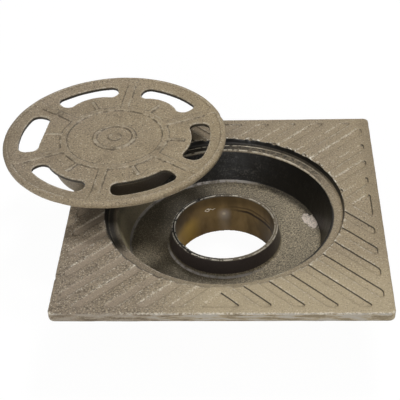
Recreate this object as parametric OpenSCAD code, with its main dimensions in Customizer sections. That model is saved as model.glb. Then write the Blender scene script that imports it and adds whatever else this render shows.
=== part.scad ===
/* [Floor plate] */
// Side of the square floor plate
plate_w = 200; // [190:1:240]
// Thickness of the plate at its edge
plate_t = 6.3; // [5:0.1:9]
// Radius of the plate's four corners, seen from above
plate_corner_r = 4; // [3:0.5:12]
// Rounding along the plate's upper edge
plate_edge_r = 1.1; // [0.4:0.1:2]
// Rounding along the plate's lower edge
plate_foot_r = 0.7; // [0.2:0.1:2]

/* [Anti-slip strips] */
// Distance between neighbouring strips, square to them
strip_pitch = 13.5; // [12:0.5:18]
// Width of a sunken strip
strip_w = 5.6; // [4:0.2:8]
// Depth of the strips below the plate's top
strip_depth = 0.9; // [0.4:0.1:1.5]
// Plain border between the strips and the plate's edge
strip_border = 5.7; // [4:0.1:8]
// Rounding of the strips' outer corners, less at the sharp ones
strip_corner_r = 4; // [0.5:0.1:5]
// Rounding of the outer corners of the wedges at mid-side
wedge_corner_r = 1.2; // [0.5:0.1:3]

/* [Recess and ledge] */
// Clearance round the grate where it drops into the plate
recess_gap = 1.8; // [0.8:0.1:3]
// Draft of the recess wall, from top to ledge
recess_draft = 0.8; // [0:0.1:1.5]
// Rounding of the recess's upper edge
recess_lip_r = 0.7; // [0.3:0.1:1.2]
// How far the seated grate lies below the plate's top
seat_sink = 0.2; // [0:0.1:1]
// Width of the ledge that carries the grate
ledge_w = 6.8; // [5:0.1:8]
// Fillet between the recess wall and the ledge
ledge_foot_r = 2; // [0.5:0.1:2.2]
// Metal below the ledge
ledge_t = 4.2; // [3:0.1:6]
// Metal outside the recess wall
recess_wall = 4; // [3:0.1:6]

/* [Bowl] */
// Room under the seated bell, down to the bowl's floor
bell_floor_gap = 4.6; // [3:0.1:12]
// Narrowing of the bowl from the ledge to its floor
bowl_taper = 6.7; // [3:0.1:9]
// Fall of the bowl's floor towards the upstand
floor_fall = 1.6; // [0:0.1:3]
// Thickness of the bowl's wall and floor
bowl_wall = 4.2; // [3:0.1:6]
// Fillet between the bowl's wall and its floor
bowl_fillet_r = 1.8; // [1:0.1:5]
// Rounding of the bowl's lower outer edge
bowl_round_r = 7; // [3:0.5:9]

/* [Outlet] */
// Outer diameter of the outlet spigot
outlet_d = 70; // [64:1:76]
// Wall of the outlet spigot
outlet_wall = 3; // [2.5:0.1:4]
// Length of the spigot below the bowl
outlet_len = 14; // [10:0.5:40]
// Wall of the upstand at its rim
upstand_rim_wall = 2.8; // [2.5:0.1:4]
// Wall of the upstand at its foot
upstand_foot_wall = 4.9; // [4:0.1:6]
// Rounding of the upstand's rim
upstand_rim_r = 1.1; // [0.4:0.1:1.2]
// Depth of the water seal: how far the bell hangs below the upstand's rim
water_seal = 6.3; // [3:0.1:8]

/* [Grate] */
// Outer radius of the grate
grate_r = 75; // [73:0.5:78]
// Thickness of the grate's web
web_t = 2.7; // [2:0.1:4]
// Width of the raised rim round the grate
rim_w = 3.5; // [3.2:0.1:5]
// Step from the dished web up to the rim
rim_step = 0.8; // [0.4:0.1:1.5]
// Rounding of the rim's upper outer edge
rim_edge_r = 2.6; // [1:0.1:3]
// Draft of the grate's outer edge below that rounding
rim_draft = 0.5; // [0:0.1:1]
// Width of the web's slope inside the rim
dish_w = 6.4; // [4:0.1:7]
// Fall of that slope towards the slots
dish_fall = 1.3; // [0.5:0.1:2]

/* [Slots] */
// Number of slots
slot_count = 6; // [4:1:6]
// Radius of the slots' inner edge
slot_inner_r = 51; // [49:0.5:53]
// Width of a slot
slot_w = 13.3; // [12.5:0.1:15]
// Angle that a slot takes up, end to end
slot_angle = 43; // [30:1:46]
// Rounding of the slots' ends
slot_end_r = 5.5; // [3:0.1:5.5]

/* [Bell] */
// Depth of the bell below the web
bell_h = 17.6; // [14:0.1:30]
// Wall of the bell
bell_wall = 3; // [2.5:0.1:4]
// Clearance between the bell's rim and the upstand's foot
bell_gap = 1.7; // [1:0.1:4]
// Web left between the bell and the slots
slot_land = 2.2; // [2:0.1:3.5]

/* [Grate relief] */
// Height of the relief above the web
relief_h = 0.65; // [0.3:0.05:1]
// Width of the flat spokes between the slots
spoke_w = 5.6; // [4:0.1:8]
// Inner radius of the raised ring
ring_r = 32.2; // [28:0.1:34]
// Width of the raised ring
ring_w = 4.6; // [3:0.1:6]
// Width of the short bars inside the slots
bar_w = 2.4; // [1.5:0.1:4]
// Space left between a short bar and its slot
bar_end_gap = 3.4; // [1:0.1:5]
// Radius of the small ring at the centre
hub_ring_r = 12; // [9:0.5:20]
// Width of the small ring at the centre
hub_ring_w = 2.6; // [1.5:0.1:4]
// Radius of the button at the centre
hub_button_r = 4.5; // [3:0.1:7]

/* [Where the grate was put down] */
// Distance of the grate's axis from the plate's left edge
put_from_left = 25.9; // [22:0.1:30]
// Distance of the grate's axis from the plate's back edge
put_from_back = 50.3; // [46:0.1:54]
// Turn of the first slot about the grate's axis
put_turn = -5.5; // [-30:0.5:30]

/* [Hidden] */
$fn = 96;
// Steps in each fillet, and overshoot of a cut
fillet_steps = 4;
cut = 1;
// Fillets of the castings
small_fillet_r = 0.8;
shell_fillet_r = 2.5;
spigot_fillet_r = 3;
bell_fillet_r = 2.6;

// Outlet and upstand
spigot_r = outlet_d / 2;
bore_r = spigot_r - outlet_wall;
upstand_top_r = bore_r + upstand_rim_wall;
upstand_foot_r = bore_r + upstand_foot_wall;

// Heights below the plate's top
rim_h = web_t + dish_fall + rim_step;
ledge_z = -(rim_h + seat_sink);
ledge_under_z = ledge_z - ledge_t;
bell_seat_z = ledge_z - bell_h;
upstand_z = bell_seat_z + water_seal;
floor_z = bell_seat_z - bell_floor_gap;
floor_low_z = floor_z - floor_fall;
bowl_under_z = floor_low_z - bowl_wall;
body_h = outlet_len - bowl_under_z;

// Radii of the recess and the bowl
recess_r = grate_r + recess_gap;
recess_low_r = recess_r - recess_draft;
recess_outer_r = recess_r + recess_wall;
bowl_top_r = recess_low_r - ledge_w;
bowl_floor_r = bowl_top_r - bowl_taper;

// Grate, measured up from the bell's rim
web_z = bell_h + web_t;
cover_h = bell_h + rim_h;
rim_inner_r = grate_r - rim_w;
dish_r = rim_inner_r - dish_w;
slot_outer_r = slot_inner_r + slot_w;
slot_sweep = slot_angle / 2 - asin(slot_end_r / (slot_inner_r + slot_end_r));
slot_steps = 10;
slot_end_steps = 8;
// Each slot as cast: swelling of its inner edge at mid-slot, growth of its outer edge
slot_cast = [[1, 0], [2.6, 0], [2.4, 0.3], [-2, 0.2], [1, -1.3], [0, 0.6]];
bell_top_r = slot_inner_r - slot_land;
bell_rim_inner_r = upstand_foot_r + bell_gap;
bell_rim_r = bell_rim_inner_r + bell_wall;
ring_outer_r = ring_r + ring_w;

// Strips lie at 45 degrees, so along the plate's sides their sizes grow by this factor
diagonal = sqrt(2);
strip_reach = plate_w / 2 - strip_border;
side_pitch = strip_pitch * diagonal;
side_half = strip_w * diagonal / 2;
// The wedge at mid-side takes the first strip that clears the recess
strip_pairs = ceil((recess_r + recess_lip_r + side_half) / side_pitch - 0.5);
wedge_tip = (strip_pairs + 0.5) * side_pitch - side_half;
wedge_min = 2;

// Unit vector along v
function unit(v) = v / norm(v);

// Points of an arc from angle a0 to a1
function arc(centre, r, a0, a1, steps) =
  [for (i = [0 : steps]) centre + r * [cos(a0 + (a1 - a0) * i / steps), sin(a0 + (a1 - a0) * i / steps)]];

// Angle brought into the half turn either side of zero
function half_turn(a) = a > 180 ? a - 360 : a < -180 ? a + 360 : a;

// One corner at b between a and c, filleted with radius r or as much as its sides allow
function corner(a, b, c, r) =
  let (
    u = unit(a - b),
    v = unit(c - b),
    half = acos(u * v) / 2,
    reach = min(r / tan(half), norm(a - b) * 0.45, norm(c - b) * 0.45),
    radius = reach * tan(half),
    centre = b + unit(u + v) * radius / sin(half),
    first = b + u * reach - centre,
    last = b + v * reach - centre,
    a0 = atan2(first[1], first[0]),
    sweep = half_turn(atan2(last[1], last[0]) - a0)
  )
  arc(centre, radius, a0, a0 + sweep, fillet_steps);

// Outline through points [x, y, fillet radius], each corner rounded by its own radius
function rounded(points) =
  let (n = len(points))
  [for (i = [0 : n - 1])
    let (
      before = points[(i + n - 1) % n],
      here = points[i],
      after = points[(i + 1) % n],
      xy = [here[0], here[1]]
    )
    each here[2] == 0 ? [xy] : corner([before[0], before[1]], xy, [after[0], after[1]], here[2])];

// Points without the first one
function tail(points) = [for (i = [1 : len(points) - 1]) points[i]];

// Points of a half outline seen in the x axis, without those on the axis
function mirrored(points) = [for (i = [len(points) - 2 : -1 : 1]) [points[i][0], -points[i][1]]];

// Half outline of a slot, from its inner edge round its end to its outer edge
function half_slot(cast) =
  let (
    outer_r = slot_outer_r + cast[1],
    out = [cos(slot_sweep), sin(slot_sweep)],
    inner = [for (i = [0 : slot_steps])
      let (a = slot_sweep * i / slot_steps, share = 1 - pow(i / slot_steps, 2))
      (slot_inner_r + cast[0] * share) * [cos(a), sin(a)]],
    low = out * (slot_inner_r + slot_end_r),
    high = out * (outer_r - slot_end_r)
  )
  concat(
    inner,
    tail(arc(low, slot_end_r, slot_sweep + 180, slot_sweep + 90, slot_end_steps)),
    arc(high, slot_end_r, slot_sweep + 90, slot_sweep, slot_end_steps),
    tail(arc([0, 0], outer_r, slot_sweep, 0, slot_steps))
  );

// Cross-section of the plate, with its rounded edges
module plate_section() {
  half = plate_w / 2;
  polygon(rounded([
    [-half, -plate_t, plate_foot_r],
    [half, -plate_t, plate_foot_r],
    [half, 0, plate_edge_r],
    [-half, 0, plate_edge_r]
  ]));
}

// One rounded corner of the plate
module plate_corner() {
  rotate_extrude()
    polygon(rounded([
      [0, -plate_t, 0],
      [plate_corner_r, -plate_t, plate_foot_r],
      [plate_corner_r, 0, plate_edge_r],
      [0, 0, 0]
    ]));
}

// Square plate with rounded corners and edges, its top at z = 0
module plate() {
  straight = plate_w - 2 * plate_corner_r;
  for (turn = [0, 90])
    rotate([90, 0, turn])
      translate([0, 0, -straight / 2])
        linear_extrude(straight)
          plate_section();
  for (x = [-straight / 2, straight / 2], y = [-straight / 2, straight / 2])
    translate([x, y, 0])
      plate_corner();
}

// Outside of the recess, bowl and spigot
module shell_blank() {
  fillet_x = recess_outer_r + shell_fillet_r;
  fillet_z = -plate_t - shell_fillet_r;
  outline = rounded([
    [0, -body_h, 0],
    [spigot_r, -body_h, small_fillet_r],
    [spigot_r, bowl_under_z, spigot_fillet_r],
    [bowl_floor_r + bowl_wall, bowl_under_z, bowl_round_r],
    [bowl_top_r + bowl_wall, ledge_under_z, shell_fillet_r],
    [recess_outer_r, ledge_under_z, small_fillet_r],
    [recess_outer_r, -plate_t, 0],
    [fillet_x, -plate_t, 0],
    [fillet_x, -plate_t / 2, 0],
    [0, -plate_t / 2, 0]
  ]);
  rotate_extrude()
    difference() {
      polygon(outline);
      translate([fillet_x, fillet_z])
        circle(shell_fillet_r);
    }
}

// Everything that is open inside the body: recess, bowl and outlet bore
module inside() {
  lip = arc([recess_r + recess_lip_r, -recess_lip_r], recess_lip_r, 90, 180, fillet_steps);
  wall = rounded([
    [recess_low_r, ledge_z, ledge_foot_r],
    [bowl_top_r, ledge_z, small_fillet_r],
    [bowl_floor_r, floor_z, bowl_fillet_r],
    [upstand_foot_r, floor_low_z, small_fillet_r],
    [upstand_top_r, upstand_z, upstand_rim_r],
    [bore_r, upstand_z, upstand_rim_r],
    [bore_r, -body_h - cut, 0],
    [0, -body_h - cut, 0],
    [0, cut, 0],
    [recess_r + recess_lip_r, cut, 0],
    [recess_r, -recess_lip_r, 0]
  ]);
  rotate_extrude()
    union() {
      polygon(wall);
      polygon(concat(lip, [[0, -recess_lip_r], [0, 0]]));
    }
}

// Strips of one corner of the plate, running out to the corner at x > 0, y < 0
module corner_strips() {
  for (k = [-strip_pairs : strip_pairs - 1]) {
    low = (k + 0.5) * side_pitch - side_half;
    high = (k + 0.5) * side_pitch + side_half;
    ends = k < 0
      ? [[high + strip_reach, -strip_reach], [low + strip_reach, -strip_reach]]
      : [[strip_reach, high - strip_reach], [strip_reach, low - strip_reach]];
    polygon(rounded([
      [low / 2, low / 2, 0],
      [high / 2, high / 2, 0],
      [ends[0][0], ends[0][1], strip_corner_r],
      [ends[1][0], ends[1][1], strip_corner_r]
    ]));
  }
}

// Wedge at the middle of the side y < 0, where the strips of two corners meet
module side_wedge() {
  half = strip_reach - wedge_tip;
  if (half > wedge_min)
    polygon(rounded([
      [0, -wedge_tip, 0],
      [-half, -strip_reach, wedge_corner_r],
      [half, -strip_reach, wedge_corner_r]
    ]));
}

// The sunken anti-slip pattern, the same at all four corners and sides
module strip_pattern() {
  for (turn = [0 : 90 : 270])
    rotate(turn)
      translate([0, 0, -strip_depth])
        linear_extrude(strip_depth + cut) {
          corner_strips();
          side_wedge();
        }
}

// Floor plate, bowl, upstand and outlet spigot, cast as one piece
module drain_body() {
  color("#92866f")
    translate([0, 0, body_h])
      difference() {
        union() {
          plate();
          shell_blank();
        }
        inside();
        strip_pattern();
      }
}

// Dished grate web, rounded rim and hanging bell, turned from one profile
module cover_blank() {
  edge = arc([grate_r - rim_edge_r, cover_h - rim_edge_r], rim_edge_r, 90, 0, 2 * fillet_steps);
  top = [
    [0, web_z, 0],
    [dish_r, web_z, 0],
    [rim_inner_r, web_z + dish_fall, small_fillet_r],
    [rim_inner_r, cover_h, small_fillet_r]
  ];
  underside = [
    [grate_r - rim_draft, bell_h, small_fillet_r],
    [bell_top_r, bell_h, bell_fillet_r],
    [bell_rim_r, 0, small_fillet_r],
    [bell_rim_inner_r, 0, small_fillet_r],
    [bell_top_r - bell_wall, bell_h, bell_fillet_r],
    [0, bell_h, 0]
  ];
  rotate_extrude()
    polygon(rounded(concat(top, [for (p = edge) [p[0], p[1], 0]], underside)));
}

// One slot about the x axis, as cast: swelling of its inner edge, growth of its outer edge
module slot(cast) {
  half = half_slot(cast);
  polygon(concat(half, mirrored(half)));
}

// Ring of the relief
module relief_ring(r, w) {
  difference() {
    circle(r + w);
    circle(r);
  }
}

// Outline of the relief: spokes, short bars, rings and a button
module relief_outline() {
  step = 360 / slot_count;
  relief_ring(ring_r, ring_w);
  relief_ring(hub_ring_r, hub_ring_w);
  circle(hub_button_r);
  for (i = [0 : slot_count - 1]) {
    rotate((i + 0.5) * step)
      translate([ring_outer_r - ring_w / 2, -spoke_w / 2])
        square([rim_inner_r + rim_w / 2 - ring_outer_r + ring_w / 2, spoke_w]);
    rotate(i * step)
      translate([ring_outer_r - ring_w / 2, -bar_w / 2])
        square([slot_inner_r - bar_end_gap - ring_outer_r + ring_w / 2, bar_w]);
  }
}

// Low relief, its top following the dished web
module relief() {
  reach = rim_inner_r + (rim_w - rim_edge_r) / 2;
  intersection() {
    translate([0, 0, bell_h])
      linear_extrude(rim_h)
        relief_outline();
    rotate_extrude()
      polygon([
        [0, web_z - web_t / 2],
        [reach, web_z - web_t / 2],
        [reach, web_z + dish_fall + relief_h],
        [rim_inner_r, web_z + dish_fall + relief_h],
        [dish_r, web_z + relief_h],
        [0, web_z + relief_h]
      ]);
  }
}

// The round grate with its bell, cast as one piece and put down on the plate's back left corner
module grate_cover() {
  color("#978a73")
    translate([-plate_w / 2 + put_from_left, plate_w / 2 - put_from_back, body_h])
      rotate(put_turn)
        difference() {
          union() {
            cover_blank();
            relief();
          }
          for (i = [0 : slot_count - 1])
            rotate(i * 360 / slot_count)
              translate([0, 0, bell_h - cut])
                linear_extrude(rim_h + 2 * cut)
                  slot(slot_cast[i]);
        }
}

drain_body();
grate_cover();
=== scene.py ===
# %% [markdown]
# A cast-iron floor drain, its round grate lifted off and laid on the plate's corner.
# The two castings arrive as exact solids. This lesson gives them what the foundry and years of
# use give the real ones: soft edges, a sand-grained skin, nicks, and a finish that changes from
# the trodden plate to the dark bowl and the oily bore.

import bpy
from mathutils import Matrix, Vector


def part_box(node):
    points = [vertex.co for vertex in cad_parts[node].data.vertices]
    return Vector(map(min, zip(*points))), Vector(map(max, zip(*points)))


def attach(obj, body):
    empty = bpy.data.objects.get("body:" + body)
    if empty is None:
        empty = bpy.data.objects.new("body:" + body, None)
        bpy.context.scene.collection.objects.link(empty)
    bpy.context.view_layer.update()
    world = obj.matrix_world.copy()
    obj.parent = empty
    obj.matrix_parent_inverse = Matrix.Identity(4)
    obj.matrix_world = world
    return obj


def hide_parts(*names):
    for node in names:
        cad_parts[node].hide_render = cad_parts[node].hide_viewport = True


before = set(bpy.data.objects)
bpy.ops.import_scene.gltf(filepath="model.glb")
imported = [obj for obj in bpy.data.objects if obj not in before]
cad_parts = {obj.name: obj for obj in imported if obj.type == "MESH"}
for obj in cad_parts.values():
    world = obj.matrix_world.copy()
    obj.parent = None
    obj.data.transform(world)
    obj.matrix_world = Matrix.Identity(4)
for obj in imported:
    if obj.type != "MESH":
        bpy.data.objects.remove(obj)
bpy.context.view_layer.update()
print("castings:", sorted(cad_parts))

# %% [markdown]
# The plate's top and sides and the grate's place are read from the castings' own boxes. The drain
# stands on its outlet spigot, with the outlet's axis on the scene's Z axis. Blender counts in
# metres, so sizes are written in millimetres times MM.

# %% Measure the castings
import math

import bmesh
import bpy
import numpy as np
from mathutils import Matrix, Vector

MM = 0.001
_, body_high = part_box("drain_body")
grate_low, grate_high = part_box("grate_cover")
PLATE_TOP = body_high.z
PLATE_HALF = body_high.x
GRATE_CENTRE = (grate_low + grate_high) / 2
GRATE_R = (grate_high.x - grate_low.x) / 2
GRATE_TOP = grate_high.z
print("plate top at", round(PLATE_TOP / MM, 1), "mm; grate radius", round(GRATE_R / MM, 1), "mm")

# %% [markdown]
# The camera stands in front, looking down on the drain at about 38 degrees, a little from the
# right and tipped by three degrees, as someone holds it who photographs a thing on the floor.
# A long lens from 0.7 m keeps the square plate's sides nearly parallel. The direction is built
# from azimuth and elevation, and the roll turns the camera about its own line of sight.

# %% Camera
CAMERA_AZIMUTH = math.radians(4.14)
CAMERA_ELEVATION = math.radians(37.66)
CAMERA_ROLL = math.radians(-3.0)
CAMERA_DISTANCE = 701.3 * MM
CAMERA_TARGET = Vector((-15.7 * MM, 6.2 * MM, PLATE_TOP))
LENS_MM = 97.3
SENSOR_MM = 36


def direction(azimuth, elevation):
    """Unit vector towards something at that azimuth, 0 being the front, and elevation."""
    flat = math.cos(elevation)
    return Vector((math.sin(azimuth) * flat, -math.cos(azimuth) * flat, math.sin(elevation)))


def add_camera():
    data = bpy.data.cameras.new("camera")
    data.lens = LENS_MM
    data.sensor_width = SENSOR_MM
    camera = bpy.data.objects.new("camera", data)
    bpy.context.scene.collection.objects.link(camera)
    back = direction(CAMERA_AZIMUTH, CAMERA_ELEVATION)
    turn = (-back).to_track_quat("-Z", "Y") @ Matrix.Rotation(CAMERA_ROLL, 3, "Z").to_quaternion()
    camera.rotation_mode = "QUATERNION"
    camera.rotation_quaternion = turn
    camera.location = CAMERA_TARGET + back * CAMERA_DISTANCE
    bpy.context.scene.camera = camera
    return camera


print("camera at", [round(v, 3) for v in add_camera().location])

# %% [markdown]
# A material in Blender is a small graph of nodes. Written node by node it is long, so two helpers
# keep it readable. Value wraps one output and turns Python's own operators into Math nodes, so
# that a mask is written as 1 - dust * 0.5. Its ramp and band turn a place into such a mask.

# %% Numbers that vary over a surface
class Value:
    """One number that varies over a surface, on which Python's operators work."""

    def __init__(self, tree, socket):
        self.tree = tree
        self.socket = socket

    def math(self, operation, *others):
        node = self.tree.nodes.new("ShaderNodeMath")
        node.operation = operation
        for slot, item in zip(node.inputs, (self, *others)):
            plug(self.tree, slot, item)
        return Value(self.tree, node.outputs[0])

    def reflected(self, operation, other):
        node = self.tree.nodes.new("ShaderNodeMath")
        node.operation = operation
        plug(self.tree, node.inputs[0], other)
        plug(self.tree, node.inputs[1], self)
        return Value(self.tree, node.outputs[0])

    def __add__(self, other):
        return self.math("ADD", other)

    __radd__ = __add__

    def __sub__(self, other):
        return self.math("SUBTRACT", other)

    def __rsub__(self, other):
        return self.reflected("SUBTRACT", other)

    def __mul__(self, other):
        return self.math("MULTIPLY", other)

    __rmul__ = __mul__

    def __truediv__(self, other):
        return self.math("DIVIDE", other)

    def __rtruediv__(self, other):
        return self.reflected("DIVIDE", other)

    def __pow__(self, other):
        return self.math("POWER", other)

    def __rpow__(self, other):
        return self.reflected("POWER", other)

    def __abs__(self):
        return self.math("ABSOLUTE")

    def largest(self, other):
        return self.math("MAXIMUM", other)

    def clamped(self):
        return self.math("MAXIMUM", 0.0).math("MINIMUM", 1.0)

    def ramp(self, low, high):
        """0 at low, 1 at high, smooth between them and level beyond; low may be the larger."""
        node = self.tree.nodes.new("ShaderNodeMapRange")
        node.interpolation_type = "SMOOTHSTEP"
        turned = low > high
        node.inputs["From Min"].default_value = min(low, high)
        node.inputs["From Max"].default_value = max(low, high)
        node.inputs["To Min"].default_value = 1.0 if turned else 0.0
        node.inputs["To Max"].default_value = 0.0 if turned else 1.0
        plug(self.tree, node.inputs["Value"], self)
        return Value(self.tree, node.outputs["Result"])

    def band(self, low, high, soft):
        """1 between low and high, fading out over soft on both sides."""
        return self.ramp(low - soft, low) * self.ramp(high + soft, high)


def plug(tree, slot, item):
    """Links a Value or an output to an input, or sets a plain number, colour or vector on it."""
    if isinstance(item, Value):
        item = item.socket
    if isinstance(item, bpy.types.NodeSocket):
        tree.links.new(item, slot)
    elif isinstance(item, tuple) and len(item) == 3 and slot.type == "RGBA":
        slot.default_value = (*item, 1.0)
    else:
        slot.default_value = item


def diagonal(one, other):
    """Length of the slanted side of a right triangle whose other two sides are these."""
    return (one ** 2.0 + other ** 2.0) ** 0.5


print("reflected operators:", [name for name in vars(Value) if name.startswith("__r")])

# %% [markdown]
# Shader makes any other node from its type, its settings and the values or links of its inputs.
# On top of that stand the few things that every finish here needs: the place on the casting, two
# kinds of noise, an attribute of the mesh, and a blend of two colours or two surfaces. All
# patterns stand on Object coordinates, so they stay where they are on the iron.

# %% Shader helper
EVEN = (1.0, 1.0, 1.0)


class Shader:
    """A material's node tree and the few things that every finish here needs."""

    def __init__(self, material):
        material.use_nodes = True
        self.tree = material.node_tree
        self.tree.nodes.clear()
        self.place = self.node("ShaderNodeTexCoord").outputs["Object"]
        parts = self.node("ShaderNodeSeparateXYZ", Vector=self.place)
        self.x, self.y, self.z = (Value(self.tree, parts.outputs[axis]) for axis in "XYZ")

    def node(self, kind, settings=None, **inputs):
        made = self.tree.nodes.new(kind)
        for name, setting in (settings or {}).items():
            setattr(made, name, setting)
        for name, item in inputs.items():
            plug(self.tree, made.inputs[name.replace("_", " ")], item)
        return made

    def value(self, socket):
        return Value(self.tree, socket)

    def shifted(self, shift, stretch=EVEN):
        """The place, moved along all three axes so that two patterns never fall together."""
        moved = (shift, shift, shift)
        made = self.node("ShaderNodeMapping", Vector=self.place, Location=moved, Scale=stretch)
        return made.outputs["Vector"]

    def noise(self, size, detail=4.0, rough=0.55, stretch=EVEN, shift=0.0):
        """Cloudy noise of about that size in metres, from 0 to 1 round a mean of a half."""
        made = self.node(
            "ShaderNodeTexNoise",
            Vector=self.shifted(shift, stretch),
            Scale=1 / size,
            Detail=detail,
            Roughness=rough,
        )
        return self.value(made.outputs[0])

    def cells(self, size, shift=0.0):
        """Distance to scattered points about that far apart, in shares of the spacing."""
        made = self.node("ShaderNodeTexVoronoi", Vector=self.shifted(shift), Scale=1 / size)
        return self.value(made.outputs["Distance"])

    def attribute(self, name):
        return self.value(self.node("ShaderNodeAttribute", {"attribute_name": name}).outputs["Fac"])

    def blend(self, share, first, second):
        """Colour that goes from first to second as share goes from 0 to 1."""
        # for colours, a Mix node uses its inputs 6 and 7 and its output 2
        made = self.node("ShaderNodeMix", {"data_type": "RGBA"})
        plug(self.tree, made.inputs[0], share)
        plug(self.tree, made.inputs[6], first)
        plug(self.tree, made.inputs[7], second)
        return made.outputs[2]

    def mixed(self, share, first, second):
        """Surface that goes from first to second, put out as the material's own."""
        made = self.node("ShaderNodeMixShader", Fac=share)
        self.tree.links.new(first, made.inputs[1])
        self.tree.links.new(second, made.inputs[2])
        out = self.node("ShaderNodeOutputMaterial")
        self.tree.links.new(made.outputs[0], out.inputs["Surface"])

    def radius(self, x=0.0, y=0.0):
        """Distance from the upright axis through x, y."""
        return diagonal(self.x - x, self.y - y)


def linear(red, green, blue):
    """A colour given as on a screen, 0 to 255, as the linear numbers that shaders take."""
    def one(v):
        v /= 255
        return v / 12.92 if v <= 0.04045 else ((v + 0.055) / 1.055) ** 2.4

    return (one(red), one(green), one(blue))


print("screen grey 128 is", round(linear(128, 128, 128)[0], 3), "to a shader")

# %% [markdown]
# The drain stands on a wide pale floor. To the camera and in reflections the floor is close to
# white, with the shadow still showing in it; to the light it is a plain pale floor that throws
# light up at the plate's edges. One Light Path node tells the two apart.

# %% Floor
FLOOR_HALF = 6.0
FLOOR_WHITE_SHARE = 0.93
FLOOR_WHITE = 1.03
FLOOR_PAINT = linear(238, 238, 236)


def add_floor():
    plane = bmesh.new()
    bmesh.ops.create_grid(plane, x_segments=1, y_segments=1, size=FLOOR_HALF)
    mesh = bpy.data.meshes.new("floor")
    plane.to_mesh(mesh)
    plane.free()
    floor = bpy.data.objects.new("floor", mesh)
    bpy.context.scene.collection.objects.link(floor)
    material = bpy.data.materials.new("pale_floor")
    shader = Shader(material)
    rays = shader.node("ShaderNodeLightPath")
    seen = shader.value(rays.outputs["Is Camera Ray"])
    seen = seen.largest(shader.value(rays.outputs["Is Glossy Ray"]))
    seen = seen.largest(shader.value(rays.outputs["Is Transmission Ray"]))
    matt = shader.node("ShaderNodeBsdfDiffuse", Color=FLOOR_PAINT)
    white = shader.node("ShaderNodeEmission", Color=(1.0, 1.0, 1.0), Strength=FLOOR_WHITE)
    shader.mixed(seen * FLOOR_WHITE_SHARE, matt.outputs[0], white.outputs[0])
    mesh.materials.append(material)
    return floor


print(add_floor().name, "reaches", FLOOR_HALF, "m each way")

# %% [markdown]
# The light is a plain studio set: a soft lamp high behind and to the right, which throws the
# grate's shadow forward, a wide low one in front, which lights every upright face as much as the
# flat ones, a weak one overhead and a dim surrounding. The surrounding is white where the camera
# looks straight at it, and grey in reflections. Each lamp's row says where it stands and what it
# gives.

# %% Lamps and surroundings
# azimuth and elevation in degrees, distance and width in metres, power in watts
LAMPS = {
    "key_lamp": (150, 60, 1.6, 0.5, 12.0),
    "front_lamp": (-8, 25, 1.8, 1.0, 18.0),
    "fill_lamp": (-10, 78, 1.8, 1.4, 4.5),
}
SURROUND_STRENGTH = 0.10
SURROUND_IN_GLOSS = 0.35


def add_lamp(name, azimuth, elevation, distance, width, watts):
    data = bpy.data.lights.new(name, "AREA")
    data.shape = "DISK"
    data.size = width
    data.energy = watts
    lamp = bpy.data.objects.new(name, data)
    bpy.context.scene.collection.objects.link(lamp)
    towards = direction(math.radians(azimuth), math.radians(elevation))
    lamp.location = Vector((0.0, 0.0, PLATE_TOP)) + towards * distance
    lamp.rotation_mode = "QUATERNION"
    lamp.rotation_quaternion = towards.to_track_quat("Z", "Y")
    return lamp


def add_surroundings():
    world = bpy.data.worlds.new("studio")
    bpy.context.scene.world = world
    world.use_nodes = True
    tree = world.node_tree
    tree.nodes.clear()
    rays = tree.nodes.new("ShaderNodeLightPath")
    seen = Value(tree, rays.outputs["Is Camera Ray"])
    seen = seen.largest(Value(tree, rays.outputs["Is Glossy Ray"]) * SURROUND_IN_GLOSS)
    seen = seen.largest(Value(tree, rays.outputs["Is Transmission Ray"]))
    sky = tree.nodes.new("ShaderNodeBackground")
    sky.inputs["Color"].default_value = (1.0, 1.0, 1.0, 1.0)
    plug(tree, sky.inputs["Strength"], seen * (1.0 - SURROUND_STRENGTH) + SURROUND_STRENGTH)
    out = tree.nodes.new("ShaderNodeOutputWorld")
    tree.links.new(sky.outputs[0], out.inputs["Surface"])


for name, row in LAMPS.items():
    print(name, "at", [round(v, 2) for v in add_lamp(name, *row).location], "m")
add_surroundings()
bpy.context.scene.view_settings.view_transform = "Standard"

# %% [markdown]
# The exact solids have edges sharper than any sand mould gives. A casting's edges are soft, its
# flat faces wave a little, and its skin is grainy. One way is to bevel every edge, which is
# tedious on a plate with thirty-six pockets. Here a copy of each solid is remeshed in small cubes,
# which makes an even skin, smoothed until its edges are as round as a casting's, pushed in and out
# by two scales of cloud noise, and at last thinned where it is flat. The solid itself stays as it
# is, hidden behind the copy.

# %% From exact solid to casting
MERGE_WITHIN = 0.002 * MM
VOXEL = 0.42 * MM
EDGE_SOFTENING = 2
WAVE_WIDTH = 9 * MM
GRAIN_WIDTH = 1.7 * MM
GRAIN_HEIGHT = 0.10 * MM
NOISE_LEVEL = 0.6


def cloud(name, size, depth):
    texture = bpy.data.textures.new(name, "CLOUDS")
    texture.noise_scale = size
    texture.noise_depth = depth
    return texture


def modifier(piece, kind, **settings):
    made = piece.modifiers.new(kind.lower(), kind)
    for name, setting in settings.items():
        setattr(made, name, setting)
    return made


def merged_copy(node, name):
    """A copy of a solid's mesh with its loose triangles joined, as a new object at the origin."""
    shape = bmesh.new()
    shape.from_mesh(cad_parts[node].data)
    bmesh.ops.remove_doubles(shape, verts=shape.verts, dist=MERGE_WITHIN)
    mesh = bpy.data.meshes.new(name)
    shape.to_mesh(mesh)
    shape.free()
    piece = bpy.data.objects.new(name, mesh)
    bpy.context.scene.collection.objects.link(piece)
    return piece


def apply_modifiers(piece):
    """Turns what the modifiers make into the piece's own mesh."""
    graph = bpy.context.evaluated_depsgraph_get()
    made = bpy.data.meshes.new_from_object(piece.evaluated_get(graph))
    old = piece.data
    piece.modifiers.clear()
    piece.data = made
    made.name = piece.name
    bpy.data.meshes.remove(old)


def points_of(mesh, what="co"):
    numbers = np.empty(len(mesh.vertices) * 3, np.float32)
    mesh.vertices.foreach_get(what, numbers)
    return numbers.reshape(-1, 3)


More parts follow.
